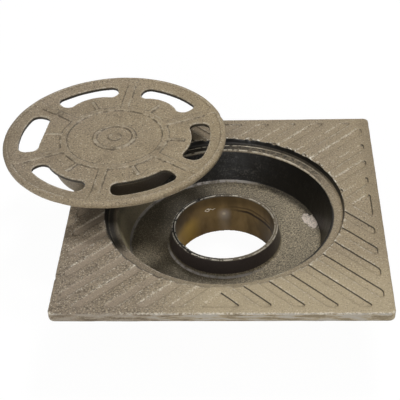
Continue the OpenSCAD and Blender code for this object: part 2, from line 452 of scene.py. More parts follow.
def knock_and_fit(piece, node, dents=()):
    """Pushes points in round each dent, given as place, reach and push, and then brings every
    point back to the solid's own box, which no casting's skin may leave."""
    points = points_of(piece.data)
    for place, reach, push in dents:
        far = np.linalg.norm(points - np.array(place, np.float32), axis=1) / reach
        share = np.clip(1 - far, 0, 1) ** 1.5
        points += share[:, None] * np.array(push, np.float32)
    low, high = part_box(node)
    np.clip(points, np.array(low, np.float32), np.array(high, np.float32), out=points)
    piece.data.vertices.foreach_set("co", points.ravel())
    piece.data.update()


def cast(node, name, wave_height, triangles, dents):
    """The solid's copy with a foundry's soft edges and uneven skin."""
    piece = merged_copy(node, name)
    modifier(piece, "REMESH", mode="VOXEL", voxel_size=VOXEL, adaptivity=0.0)
    modifier(piece, "SMOOTH", factor=0.5, iterations=EDGE_SOFTENING)
    wave = cloud(name + "_wave", WAVE_WIDTH, 1)
    grain = cloud(name + "_grain", GRAIN_WIDTH, 2)
    for texture, height in ((wave, wave_height), (grain, GRAIN_HEIGHT)):
        uneven = modifier(piece, "DISPLACE", texture=texture, texture_coords="LOCAL")
        uneven.strength = height
        uneven.mid_level = NOISE_LEVEL
    apply_modifiers(piece)
    dense = len(piece.data.polygons) * 2
    knock_and_fit(piece, node, dents)
    modifier(piece, "DECIMATE", ratio=min(1.0, triangles / dense), use_collapse_triangulate=True)
    apply_modifiers(piece)
    knock_and_fit(piece, node)
    print(name, "made of", dense, "triangles, thinned to", len(piece.data.polygons))
    return piece


# %% [markdown]
# Iron is brittle at its edges, so years of use leave marks: a nick in the plate's left edge, a
# notch in the grate's edge, a flat spot and a burr on the upstand's rim, and many small chips
# along the edge of the recess, where the grate was dropped in. Each mark pushes the skin in round
# one place. The few large ones are listed one by one, and the small chips are drawn at random from
# a fixed seed, so that they come out the same each time.

# %% Knocks, chips and the two castings
# place, reach and push of each mark
PLATE_NICK = ((-100 * MM, -68 * MM, 46.5 * MM), 2.6 * MM, (1.0 * MM, 0.0, -0.3 * MM))
GRATE_NOTCH = ((-1.8 * MM, 73.5 * MM, 69.0 * MM), 4.0 * MM, (-1.1 * MM, -0.5 * MM, -0.3 * MM))
RIM_FLAT = ((-26.6 * MM, -22.3 * MM, 30.5 * MM), 7.0 * MM, (0.6 * MM, 0.5 * MM, 0.0))
RIM_BURR = ((-17.0 * MM, -30.6 * MM, 30.5 * MM), 4.0 * MM, (-0.35 * MM, -0.6 * MM, 0.0))
LIP_CHIPS = 34
LIP_SEED = 5
LIP_START = math.radians(5)
LIP_END = math.radians(112)
LIP_R = 77.0 * MM
LIP_Z = PLATE_TOP - 0.2 * MM


def chipped_lip():
    """Small chips knocked off the recess's upper edge along its right and back."""
    draws = np.random.default_rng(LIP_SEED)
    chips = []
    for angle in draws.uniform(LIP_START, LIP_END, LIP_CHIPS):
        outwards = np.array((math.cos(angle), math.sin(angle), 0.0))
        depth = draws.uniform(0.35, 0.9) * MM
        drop = draws.uniform(0.1, 0.4) * MM
        reach = draws.uniform(1.4, 3.2) * MM
        place = outwards * LIP_R + (0.0, 0.0, LIP_Z)
        chips.append((place, reach, outwards * depth - (0.0, 0.0, drop)))
    return chips


BODY_WAVE = 0.26 * MM
GRATE_WAVE = 0.24 * MM
BODY_TRIANGLES = 196000
GRATE_TRIANGLES = 190000
body_marks = [PLATE_NICK, RIM_FLAT, RIM_BURR, *chipped_lip()]
body = cast("drain_body", "body_casting", BODY_WAVE, BODY_TRIANGLES, body_marks)
grate = cast("grate_cover", "grate_casting", GRATE_WAVE, GRATE_TRIANGLES, [GRATE_NOTCH])

# %% [markdown]
# The finish follows the shape: raised edges are rubbed bright and carry a painted highlight, and
# corners hold dirt and painted shade. The mesh can tell which is which. Along each mesh edge, the
# two ends' normals spread apart where the surface bulges and lean together where it is hollow.
# That spread, averaged at each point and smoothed, is kept as an attribute that the finish reads.
# Two more attributes tell how far the skin faces the front left, where shade is painted on the
# strips' steep walls, and the front right, where highlights are painted on them.

# %% Bulges, hollows and the two sides of the strips
CURVE_SMOOTHING = 2


def spread_over(count, ends, numbers):
    """Average of each point's neighbours, over edges given by their two ends."""
    total = np.bincount(ends[:, 0], numbers[ends[:, 1]], count)
    total += np.bincount(ends[:, 1], numbers[ends[:, 0]], count)
    links = np.bincount(ends.ravel(), minlength=count)
    return total / np.maximum(links, 1)


def bend_of(mesh, places, normals):
    """How much the skin bulges at each point, per metre, and negative in a hollow."""
    count = len(places)
    ends = np.empty(len(mesh.edges) * 2, np.int32)
    mesh.edges.foreach_get("vertices", ends)
    ends = ends.reshape(-1, 2)
    apart = places[ends[:, 0]] - places[ends[:, 1]]
    lean = normals[ends[:, 0]] - normals[ends[:, 1]]
    bend = (apart * lean).sum(1) / np.maximum((apart**2).sum(1), 1e-12)
    links = np.maximum(np.bincount(ends.ravel(), minlength=count), 1)
    curve = (np.bincount(ends[:, 0], bend, count) + np.bincount(ends[:, 1], bend, count)) / links
    for _ in range(CURVE_SMOOTHING):
        curve = 0.5 * curve + 0.5 * spread_over(count, ends, curve)
    return curve


def mark_shape(piece):
    mesh = piece.data
    places, normals = points_of(mesh), points_of(mesh, "normal")
    curve = bend_of(mesh, places, normals) * MM
    # how far the skin faces the front left and the front right, where the strips' walls get painted
    # shade and painted highlights
    marks = {
        "curve": np.clip(curve, -1, 1),
        "faces_front_left": np.clip(-(normals[:, 0] + normals[:, 1]) / math.sqrt(2), 0, 1),
        "faces_front_right": np.clip((normals[:, 0] - normals[:, 1]) / math.sqrt(2), 0, 1),
    }
    for name, numbers in marks.items():
        attribute = mesh.attributes.new(name, "FLOAT", "POINT")
        attribute.data.foreach_set("value", numbers.astype(np.float32))
    shares = np.percentile(curve, (1, 10, 50, 90, 99))
    print(piece.name, "bend per mm, lowest to highest:", [round(float(v), 2) for v in shares])


for piece in (body, grate):
    piece.data.shade_smooth()
    mark_shape(piece)

# %% [markdown]
# Both castings are iron with a dull grey-brown skin, in which small grains catch the light. The
# finish starts from two close tones in large patches, adds cloudy stains and fine speckle, then
# wear and a painted highlight on the bulges and dirt and painted shade in the hollows. It is one
# function, because both pieces came out of the same sand, and the pieces differ in their tones and
# in the zones added on top.

# %% Sand-cast iron
IRON_WARM = linear(163, 146, 116)
IRON_COOL = linear(142, 128, 110)
IRON_STAIN = linear(112, 98, 75)
IRON_DARK = linear(58, 50, 40)
IRON_WORN = linear(206, 191, 160)
IRON_BRIGHT = linear(238, 230, 212)


def iron_skin(shader, patches, edge_brightening):
    """Colour, roughness and height of the bare casting skin; patches goes from cool to warm."""
    colour = shader.blend(patches, IRON_COOL, IRON_WARM)
    stains = shader.noise(14 * MM, detail=5, rough=0.65, shift=1.3).ramp(0.54, 0.76)
    colour = shader.blend(stains * 0.4, colour, IRON_STAIN)
    grains = shader.noise(1.0 * MM, detail=3, rough=0.7, shift=2.7)
    colour = shader.blend(grains.ramp(0.53, 0.68) * 0.62, colour, IRON_WORN)
    colour = shader.blend(grains.ramp(0.47, 0.31) * 0.72, colour, IRON_DARK)
    glints = shader.cells(2.1 * MM, shift=6.1).ramp(0.20, 0.08)
    colour = shader.blend(glints * 0.55, colour, IRON_BRIGHT)
    pits = shader.cells(2.9 * MM, shift=9.4).ramp(0.19, 0.09)
    colour = shader.blend(pits * 0.6, colour, IRON_DARK)
    curve = shader.attribute("curve")
    # bulges are rubbed bright and carry a painted highlight
    wear_and_highlight = shader.noise(1.6 * MM, detail=3, shift=4.1).ramp(0.40, 0.62) * edge_brightening
    colour = shader.blend(curve.ramp(0.12, 0.40) * wear_and_highlight, colour, IRON_BRIGHT)
    # hollows hold dirt and painted shade
    colour = shader.blend(curve.ramp(-0.10, -0.40) * 0.4, colour, IRON_DARK)
    height = grains * 0.7 + shader.noise(4.5 * MM, detail=3, shift=7.9) * 0.9 - pits * 0.5
    rough = 0.64 - grains.ramp(0.5, 0.7) * 0.16
    return colour, rough, height


print("worn grains to dark pits, linear:", round(IRON_WORN[0], 3), "to", round(IRON_DARK[0], 3))

# %% [markdown]
# A finish ends in a surface. Its grain is a bump, because it is finer than the mesh. Bare iron has
# a soft sheen and an oily or dirty film has next to none, so two surfaces that differ only in
# their sheen are mixed, and the share between them can change over the piece.

# %% Sheen and grain
SHEEN = 0.35
DULL_SHEEN = 0.08
GRAIN_BUMP = 0.4
GRAIN_BUMP_HEIGHT = 0.35 * MM


def finish_iron(shader, colour, rough, height, dull=0.0):
    """Skin with a soft sheen; where dull goes to 1 the sheen goes down to that of a dry film."""
    relief = shader.node(
        "ShaderNodeBump", Height=height, Strength=GRAIN_BUMP, Distance=GRAIN_BUMP_HEIGHT
    )
    skins = []
    for sheen in (SHEEN, DULL_SHEEN):
        made = shader.node(
            "ShaderNodeBsdfPrincipled",
            Base_Color=colour,
            Roughness=rough,
            Metallic=0.0,
            Normal=relief.outputs["Normal"],
            Specular_IOR_Level=sheen,
        )
        skins.append(made.outputs["BSDF"])
    shader.mixed(dull, *skins)


print("sheen of bare iron", SHEEN, "and of a film", DULL_SHEEN)

# %% [markdown]
# The grate is the plain skin: warmer to the right, where it was less trodden, and greyer on its
# left side. Its low relief is told by thin dark lines of painted shade along the relief's walls.
# The slots' walls are black, and painted shade darkens all below the disc, less so on the bell's
# left side, where light reaches it. Each of these is a band of height, measured down from the
# grate's own top.

# %% Grate finish
WEB_TOP = GRATE_TOP - 2.1 * MM
RELIEF_TOP = WEB_TOP + 0.65 * MM
SLOT_BLACK = linear(26, 23, 19)


def relief_lines(shader, colour, radius):
    """Painted shade along the walls of the low relief, and a painted highlight on its upper edges.
    """
    inner = radius.ramp(65.0 * MM, 64.0 * MM)
    broken = shader.noise(5 * MM, detail=2, shift=8.8).ramp(0.36, 0.56)
    wall = shader.z.band(WEB_TOP + 0.15 * MM, RELIEF_TOP - 0.15 * MM, 0.12 * MM) * inner
    # painted shade on the relief's walls
    colour = shader.blend(wall * broken * 0.7, colour, IRON_DARK)
    lit = shader.z.band(RELIEF_TOP - 0.2 * MM, RELIEF_TOP + 0.1 * MM, 0.15 * MM) * inner
    lit = lit * shader.attribute("curve").ramp(0.02, 0.14)
    return shader.blend(lit * (1 - broken) * 0.16, colour, IRON_BRIGHT)


def grate_underside(shader, colour, radius):
    """Black on the slots' walls and painted shade below the disc, less of it on the bell's left
    side.
    """
    slot_wall = shader.z.ramp(WEB_TOP - 0.3 * MM, WEB_TOP - 1.1 * MM)
    slot_wall = slot_wall * shader.z.ramp(WEB_TOP - 4.5 * MM, WEB_TOP - 3.4 * MM)
    slot_wall = slot_wall * radius.ramp(67.0 * MM, 66.0 * MM)
    colour = shader.blend(slot_wall * 0.9, colour, SLOT_BLACK)
    # painted shade below the disc, less on the bell's left side, where light reaches it
    shade_below = shader.z.ramp(WEB_TOP - 3.4 * MM, WEB_TOP - 6.0 * MM)
    bell_lit_side = radius.ramp(50.5 * MM, 49.0 * MM)
    bell_lit_side = bell_lit_side * (shader.x - GRATE_CENTRE.x).ramp(-8 * MM, -26 * MM)
    return shader.blend(shade_below * (0.95 - bell_lit_side * 0.85), colour, IRON_DARK)


def grate_finish():
    material = bpy.data.materials.new("grate_iron")
    shader = Shader(material)
    across = (shader.x - (GRATE_CENTRE.x - GRATE_R)) / (2 * GRATE_R)
    patches = (across * 0.7 + shader.noise(40 * MM, detail=3) * 0.8 - 0.2).clamped()
    colour, rough, height = iron_skin(shader, patches, 0.35)
    radius = shader.radius(GRATE_CENTRE.x, GRATE_CENTRE.y)
    colour = relief_lines(shader, colour, radius)
    trodden = shader.noise(22 * MM, detail=4, rough=0.6, shift=20.3).ramp(0.50, 0.66)
    colour = shader.blend(trodden * 0.22, colour, IRON_STAIN)
    outer_left = shader.x.ramp(GRATE_CENTRE.x - 0.80 * GRATE_R, GRATE_CENTRE.x - 0.97 * GRATE_R)
    colour = shader.blend(outer_left * 0.3, colour, IRON_STAIN)
    colour = grate_underside(shader, colour, radius)
    finish_iron(shader, colour, rough, height)
    return material


print("grate's web at", round(WEB_TOP / MM, 1), "mm, its relief", round(RELIEF_TOP / MM, 1), "mm")

# %% [markdown]
# The drain's body has three finishes that run into each other: the plate's bare skin, the near
# black coat of the bowl with dust on its floor, and the yellow-brown film of oil and rust in the
# bore. Each zone is a band of radius and height, so it is written from the drain's own sizes.

# %% Sizes of the drain that the zones follow
STRIP_Z = PLATE_TOP - 0.9 * MM
RECESS_R = 76.8 * MM
LEDGE_Z = 42.0 * MM
LEDGE_INNER_R = 69.2 * MM
BOWL_FLOOR_Z = 20.0 * MM
UPSTAND_TOP = 30.7 * MM
BORE_R = 32.0 * MM
# the bowl's inner wall leans out by this much per height, from this radius at height 0
WALL_SLOPE = 0.302
WALL_FOOT_R = 56.5 * MM
COAT_BLACK = linear(22, 20, 17)
print("ledge", round((PLATE_TOP - LEDGE_Z) / MM, 1), "mm below the plate's top")

# %% [markdown]
# The plate's front face is painted a shade darker as a whole. It is scoured: it has long cool
# streaks, a dark foot, and an upper edge that is chipped bright. Noise that is stretched along the
# face gives the streaks.

# %% Front face of the plate
EDGE_GREY = linear(168, 162, 152)
STREAK_STRETCH = (0.12, 1.0, 1.0)


def front_face(shader, colour):
    """The plate's front face, painted a shade darker, streaked, with bright chips along its upper
    edge.
    """
    face = shader.y.ramp(-PLATE_HALF + 0.9 * MM, -PLATE_HALF + 0.3 * MM)
    streaks = shader.noise(2.0 * MM, detail=4, rough=0.6, shift=3.9, stretch=STREAK_STRETCH)
    # painted shade darkens the whole front face
    colour = shader.blend(face * 0.35, colour, IRON_STAIN)
    scoured = shader.x.ramp(-90 * MM, 0.0) * 0.45 + 0.35
    colour = shader.blend(face * scoured * streaks.ramp(0.45, 0.56), colour, EDGE_GREY)
    colour = shader.blend(face * streaks.ramp(0.49, 0.42) * 0.4, colour, IRON_DARK)
    foot = shader.z.ramp(PLATE_TOP - 5.2 * MM, PLATE_TOP - 5.8 * MM)
    colour = shader.blend(face * foot * 0.7, colour, IRON_DARK)
    edge = shader.y.ramp(-PLATE_HALF + 1.5 * MM, -PLATE_HALF + 0.9 * MM)
    edge = edge * shader.z.ramp(PLATE_TOP - 1.1 * MM, PLATE_TOP - 0.5 * MM)
    chips = shader.noise(1.3 * MM, detail=3, rough=0.65, shift=17.1).ramp(0.47, 0.58)
    chips = chips * shader.x.ramp(-75 * MM, -40 * MM)
    return shader.blend(edge * chips * 0.5, colour, IRON_BRIGHT)


print("streaks are", round(1 / STREAK_STRETCH[0], 1), "times as long as high")

# %% [markdown]
# The plate's top is bare iron. It is warm at the front and right and paler at the front, and
# pitted by rust at the left, where a shadow of the lifted grate is also painted. The strips are
# sunken, so shade is painted on the walls that face the front left and highlights on the ones that
# face the front right. The two attributes made above pick out those walls, and bands of height keep
# them to the walls. The edge of the recess has a line of painted shade at the front left and is
# chipped bright at the back.

# %% Plate skin
STRIP_PURPLE = linear(154, 139, 122)


def plate_tones(shader):
    """Bare skin, cool at the left and warm at the right, paler in front."""
    across = (shader.x + PLATE_HALF) / (2 * PLATE_HALF)
    front = shader.y.ramp(-40 * MM, -85 * MM) * shader.x.ramp(-60 * MM, 0.0)
    patches = across * 0.8 + front * 0.5 + shader.noise(45 * MM, detail=3) * 0.8 - 0.45
    colour, rough, height = iron_skin(shader, patches.clamped(), 0.95)
    colour = shader.blend(front * 0.30, colour, IRON_WORN)
    border = shader.x.ramp(90 * MM, 97 * MM) * shader.y.ramp(-60 * MM, 0.0)
    return shader.blend(border * 0.28, colour, IRON_STAIN), rough, height


def pitted_left(shader, colour, left, top):
    """Pits and glints between the strips at the left, purple in them, and the grate's painted
    shadow.
    """
    raised = shader.z.ramp(STRIP_Z + 0.2 * MM, STRIP_Z + 0.6 * MM)
    rotten = shader.noise(1.5 * MM, detail=3, rough=0.65, shift=12.3).ramp(0.48, 0.60)
    uneven = 0.5 + shader.noise(10 * MM, detail=3, shift=22.1).ramp(0.40, 0.60) * 0.5
    colour = shader.blend(rotten * raised * left * uneven * 0.6, colour, IRON_DARK)
    glints = shader.cells(1.7 * MM, shift=23.4).ramp(0.26, 0.12)
    colour = shader.blend(glints * raised * left * 0.5, colour, IRON_BRIGHT)
    colour = shader.blend((1 - raised) * top * left * 0.4, colour, STRIP_PURPLE)
    # painted shadow of the grate on the plate at its left
    grate_shadow = shader.x.ramp(-97 * MM, -86 * MM) * shader.x.ramp(-60 * MM, -70 * MM)
    grate_shadow = grate_shadow * shader.y.ramp(-28 * MM, -9 * MM) * shader.y.ramp(60 * MM, 30 * MM)
    return shader.blend(grate_shadow * 0.6, colour, IRON_DARK)


def strip_walls(shader, colour, left, top):
    """Painted shade on the strips' walls that face the front left, broken painted highlights on the
    others.
    """
    wall = shader.z.band(STRIP_Z + 0.2 * MM, PLATE_TOP - 0.25 * MM, 0.15 * MM) * top
    wall = wall * shader.radius().ramp(RECESS_R, RECESS_R + 1.0 * MM)
    wall = wall * abs(shader.x).ramp(97.5 * MM, 96.5 * MM)
    wall = wall * shader.y.ramp(-97.5 * MM, -96.5 * MM)
    # painted shade on the walls that face the front left
    faces_front_left = shader.attribute("faces_front_left").ramp(0.15, 0.55)
    shade_strength = 0.85 - shader.y.ramp(70 * MM, 85 * MM) * 0.40
    colour = shader.blend(wall * faces_front_left * shade_strength, colour, COAT_BLACK)
    # painted highlights on the walls that face the front right
    faces_front_right = shader.attribute("faces_front_right").ramp(0.12, 0.45)
    broken = shader.noise(1.1 * MM, detail=3, rough=0.7, shift=14.2).ramp(0.45, 0.57)
    broken = broken * shader.noise(7 * MM, detail=2, shift=18.6).ramp(0.38, 0.56)
    glint = 0.45 - left * 0.20
    return shader.blend(wall * faces_front_right * broken * glint, colour, IRON_BRIGHT)


def recess_lip(shader, colour):
    """The upper edge of the recess: a line of painted shade at the front left, bright chips at the
    back.
    """
    radius = shader.radius()
    upper = shader.z.ramp(PLATE_TOP - 1.4 * MM, PLATE_TOP - 0.9 * MM)
    # painted shade along the recess's edge at the front left
    lip_shade = radius.band(RECESS_R + 0.1 * MM, RECESS_R + 0.9 * MM, 0.3 * MM) * upper
    lip_shade = lip_shade * shader.x.ramp(-22 * MM, -40 * MM) * shader.y.ramp(-10 * MM, -30 * MM)
    colour = shader.blend(lip_shade * 0.75, colour, IRON_DARK)
    lip = radius.band(RECESS_R - 0.4 * MM, RECESS_R + 0.9 * MM, 0.3 * MM) * upper
    chips = shader.noise(2.6 * MM, detail=4, rough=0.6, shift=21.8).ramp(0.54, 0.60)
    return shader.blend(lip * chips * shader.y.ramp(0.0, 30 * MM) * 0.9, colour, IRON_BRIGHT)


def plate_skin(shader):
    """The bare plate in layers, from its tones to its front face."""
    colour, rough, height = plate_tones(shader)
    left = shader.x.ramp(0.0, -50 * MM) * shader.y.ramp(20 * MM, -20 * MM)
    top = shader.z.ramp(STRIP_Z - 1.0 * MM, STRIP_Z - 0.6 * MM)
    colour = pitted_left(shader, colour, left, top)
    colour = strip_walls(shader, colour, left, top)
    colour = recess_lip(shader, colour)
    return front_face(shader, colour), rough, height


print("strips' floor at", round(STRIP_Z / MM, 1), "mm")

# %% [markdown]
# The bowl wears a near black coat. It has grey specks where it is worn, is brown on the left wall,
# where painted shade darkens it towards the back and at its top, under the grate, is evenly dark
# on the right wall, and has a purple tone on the upstand.

# %% Coat of the bowl
COAT_DEEP = linear(38, 35, 29)
COAT_PURPLE = linear(60, 52, 49)
COAT_WORN = linear(80, 77, 70)
COAT_BROWN = linear(182, 170, 138)
COAT_SHADE = linear(128, 118, 96)


def bowl_coat(shader, radius):
    """The coat on the bowl's wall and on the upstand, with painted shade on the left wall."""
    spots = shader.noise(1.3 * MM, detail=4, rough=0.7, shift=11.0).ramp(0.51, 0.62)
    cloudy = shader.noise(16 * MM, detail=3, shift=4.7).ramp(0.40, 0.58)
    colour = shader.blend(spots * (0.12 + cloudy * 0.42), COAT_BLACK, COAT_WORN)
    left = shader.x.ramp(-40 * MM, -54 * MM)
    # painted shade darkens the left wall's brown towards the back, under the grate
    brown = shader.blend(shader.y.ramp(12 * MM, -7 * MM), COAT_SHADE, COAT_BROWN)
    # more painted shade at the top of the left wall, under the grate
    high = shader.z.ramp(33 * MM, 40 * MM) * shader.y.ramp(-34 * MM, -20 * MM)
    brown = shader.blend((spots * 0.3 + high * 0.5).clamped(), brown, COAT_BLACK)
    colour = shader.blend(left, colour, brown)
    right = shader.x.ramp(36 * MM, 58 * MM) * shader.y.ramp(20 * MM, -10 * MM)
    colour = shader.blend(right * 0.8, colour, COAT_DEEP)
    upstand = radius.ramp(39.5 * MM, 38.5 * MM)
    return shader.blend(upstand * (1 - spots * 0.3), colour, COAT_PURPLE)


print("coat, black to worn, linear:", round(COAT_BLACK[0], 4), "to", round(COAT_WORN[0], 3))

# %% [markdown]
# Dust has settled on the bowl's floor. It is pale at the right, and painted shade darkens it at the
# left, under the grate, and a little at the front. At the back right a painted shadow of the wall
# lies over it with a ragged edge. Painted highlights run as pale lines along the floor's outer
# corner and round the foot of the upstand, and a pale splash has dried at the right. The splash is
# an oval, drawn by turning the place to the oval's own two directions and adding noise to the
# distance from its centre.

# %% Floor of the bowl
BOWL_DUST = linear(136, 125, 104)
# colour of the dust in painted shade
BOWL_DUST_SHADED = linear(85, 77, 61)
FOOT_GREY = linear(176, 169, 162)
SPLASH = linear(222, 208, 194)
# middle of a patch where the painted shade is lifted
SHADE_LIFTED_PLACE = (-50 * MM, -15 * MM)
SPLASH_PLACE = (56.4 * MM, 17.8 * MM)
# the oval is turned by about 29 degrees
SPLASH_COSINE = 0.87
SPLASH_SINE = 0.49
SPLASH_WIDTH_TO_LENGTH = 0.42


def bowl_dust(shader, grains):
    """Colour of the dust, grained, with painted shade at the left and front and more under the
    grate.
    """
    # painted shade at the left, under the grate, and a little at the front
    floor_shade = shader.x.ramp(10 * MM, -40 * MM) + shader.y.ramp(-30 * MM, -52 * MM) * 0.5
    shade_lifted = shader.radius(*SHADE_LIFTED_PLACE).ramp(17 * MM, 5 * MM)
    floor_shade = floor_shade.clamped() * (1 - shade_lifted * 0.85)
    dust = shader.blend(floor_shade, BOWL_DUST, BOWL_DUST_SHADED)
    # the dust's speckle shows less where shade is painted
    speckle_out_of_shade = 1 - floor_shade * 0.6
    dust = shader.blend(grains.ramp(0.53, 0.64) * speckle_out_of_shade * 0.68, dust, IRON_WORN)
    dust = shader.blend(grains.ramp(0.48, 0.35) * speckle_out_of_shade * 0.85, dust, COAT_BLACK)
    # more painted shade where the grate shades the floor
    grate_shade_on_floor = shader.x.ramp(5 * MM, -20 * MM) * shader.y.ramp(3 * MM, 22 * MM)
    return shader.blend(grate_shade_on_floor * 0.4, dust, COAT_BLACK)


def floor_lines(shader, colour, radius):
    """Painted highlights: pale lines along the floor's outer corner and round the foot of the
    upstand.
    """
    patchy = shader.noise(3.5 * MM, detail=3, shift=15.5).ramp(0.36, 0.54)
    # painted highlights on the floor's outer corner and the upstand's foot
    corner = shader.z.band(BOWL_FLOOR_Z - 0.1 * MM, BOWL_FLOOR_Z + 0.9 * MM, 0.3 * MM)
    corner = corner * radius.ramp(60.4 * MM, 61.2 * MM) * shader.x.ramp(26 * MM, 6 * MM)
    at_back = shader.y.ramp(30 * MM, 55 * MM)
    colour = shader.blend(corner * (0.25 + patchy * (0.2 + at_back * 0.55)), colour, FOOT_GREY)
    foot = radius.band(36.9 * MM, 37.9 * MM, 0.4 * MM) * shader.z.ramp(20.4 * MM, 19.2 * MM)
    foot = foot * shader.y.ramp(0.0, -16 * MM) * shader.x.ramp(30 * MM, 8 * MM)
    return shader.blend(foot * (0.4 + patchy * 0.5), colour, FOOT_GREY)


def splashed(shader, grains):
    """Share of the pale splash: an oval with a ragged edge, speckled by the dust's grains."""
    x, y = SPLASH_PLACE
    across = (shader.x - x) * SPLASH_COSINE + (shader.y - y) * SPLASH_SINE
    along = (shader.y - y) * SPLASH_COSINE - (shader.x - x) * SPLASH_SINE
    far = diagonal(across, along * SPLASH_WIDTH_TO_LENGTH)
    ragged = far + (shader.noise(3 * MM, detail=4, shift=1.9) - 0.5) * (6 * MM)
    return ragged.ramp(4.2 * MM, 3.2 * MM) * (0.40 + grains.ramp(0.40, 0.56) * 0.6)


def bowl_skin(shader, radius, on_floor):
    """The coat and what lies on it, with a painted shadow of the wall at the back right."""
    grains = shader.noise(0.9 * MM, detail=3, rough=0.7, shift=5.2)
    colour = shader.blend(on_floor, bowl_coat(shader, radius), bowl_dust(shader, grains))
    # painted shadow of the wall at the back right, with a ragged edge
    ragged = radius + (shader.noise(5 * MM, detail=4, rough=0.6, shift=24.6) - 0.5) * (7 * MM)
    wall_shadow = shader.x.ramp(14 * MM, 30 * MM) * shader.y.ramp(0.0, 18 * MM)
    wall_shadow = wall_shadow * ragged.ramp(57.5 * MM, 61.5 * MM)
    colour = shader.blend(wall_shadow * 0.75, colour, COAT_BLACK)
    colour = floor_lines(shader, colour, radius)
    return shader.blend(splashed(shader, grains) * on_floor, colour, SPLASH)


print("splash at", [round(v / MM, 1) for v in SPLASH_PLACE], "mm")

# %% [markdown]
# Oil and rust have left a yellow-brown film in the bore. It is darker under the rim and clear
# yellow low at the left. At the right the seam that the sand core left runs round as a dark wavy
# line, with a fainter one above it. A soft gleam stands upright at the back, and to its left is
# a short bright scratch. Adding noise to a height before it is made a band gives the wavy lines.

# %% Bore
BORE_FILM = linear(122, 100, 65)
BORE_FILM_YELLOW = linear(208, 170, 84)
BORE_FILM_DARK = linear(58, 45, 25)
BORE_SEAM = linear(36, 28, 19)
SEAM_Z = 17.8 * MM
GLEAM_X = -1.6 * MM
GLEAM_Z = 15.2 * MM


def bore_film(shader, cloudy):
    """The film's own colours."""
    colour = shader.blend(cloudy.ramp(0.35, 0.65) * 0.6, BORE_FILM, BORE_FILM_DARK)
    colour = shader.blend(shader.z.ramp(20 * MM, 27 * MM) * 0.6, colour, BORE_FILM_DARK)
    yellow = shader.x.ramp(-16 * MM, -27 * MM) * shader.z.ramp(22 * MM, 12 * MM)
    return shader.blend(yellow * 0.85, colour, BORE_FILM_YELLOW)


def bore_gleam(shader, colour, cloudy):
    """A soft upright gleam on the back of the bore, with a bright spot in it."""
    behind = shader.y.ramp(0.0, 10 * MM)
    gleam = shader.x.band(-1.5 * MM, -1.3 * MM, 6 * MM) * shader.z.ramp(21 * MM, 15.5 * MM)
    gleam = gleam * (0.3 + shader.z.ramp(8 * MM, 15.5 * MM) * 0.7)
    colour = shader.blend(gleam * behind * (0.25 + cloudy * 0.4), colour, FOOT_GREY)
    spot = diagonal(shader.x - GLEAM_X, shader.z - GLEAM_Z).ramp(1.8 * MM, 0.3 * MM)
    return shader.blend(spot * behind * 0.5, colour, IRON_WORN)


def bore_skin(shader):
    """The film with its gleam, the core's seam and the scratch."""
    cloudy = shader.noise(12 * MM, detail=4, shift=3.3, stretch=(1.0, 1.0, 0.5))
    colour = bore_gleam(shader, bore_film(shader, cloudy), cloudy)
    wavy = shader.z + (shader.noise(16 * MM, detail=2, shift=2.2) - 0.5) * (4 * MM)
    seam = wavy.band(SEAM_Z - 0.7 * MM, SEAM_Z + 0.5 * MM, 0.7 * MM)
    colour = shader.blend(seam * shader.x.ramp(0.0, 14 * MM) * 0.9, colour, BORE_SEAM)
    upper = wavy.band(SEAM_Z + 2.6 * MM, SEAM_Z + 3.2 * MM, 0.8 * MM)
    colour = shader.blend(upper * shader.x.ramp(-4 * MM, 12 * MM) * 0.55, colour, BORE_SEAM)
    scratched = shader.z + (shader.noise(3.0 * MM, detail=2, shift=8.3) - 0.5) * (7 * MM)
    scratch = scratched.band(20.0 * MM, 20.3 * MM, 0.25 * MM) * shader.y.ramp(20 * MM, 24 * MM)
    return shader.blend(scratch * shader.x.band(-14 * MM, -8 * MM, 1 * MM), colour, IRON_BRIGHT)


print("core's seam at", round(SEAM_Z / MM, 1), "mm")

# %% [markdown]
# The ledge carries the grate, so dirt packs on it. At the back it is stained and crusted in the
# middle, and painted shade makes it black towards the left, under the lifted grate. Two thin bright
# lines of painted highlight run on it, one near each edge, and painted shade darkens the corner
# behind the outer line. At the left the ledge is dirty all over.

# %% Ledge
LEDGE_DIRT = linear(58, 51, 38)


def ledge_lines(shader, ledge, radius, back, left):
    """Share of the two painted highlight lines, which are broken and run along the back."""
    inner = radius.band(LEDGE_INNER_R + 0.1 * MM, LEDGE_INNER_R + 0.9 * MM, 0.3 * MM)
    outer = radius.band(LEDGE_INNER_R + 5.2 * MM, LEDGE_INNER_R + 5.5 * MM, 0.3 * MM)
    lines = inner * 0.8 + outer * (0.3 + shader.x.ramp(36 * MM, 16 * MM) * 0.6)
    edge_brightening = shader.noise(3.0 * MM, detail=3, shift=13.7).ramp(0.34, 0.50)
    return ledge * lines.clamped() * edge_brightening * (back * 0.95 + left * 0.12)


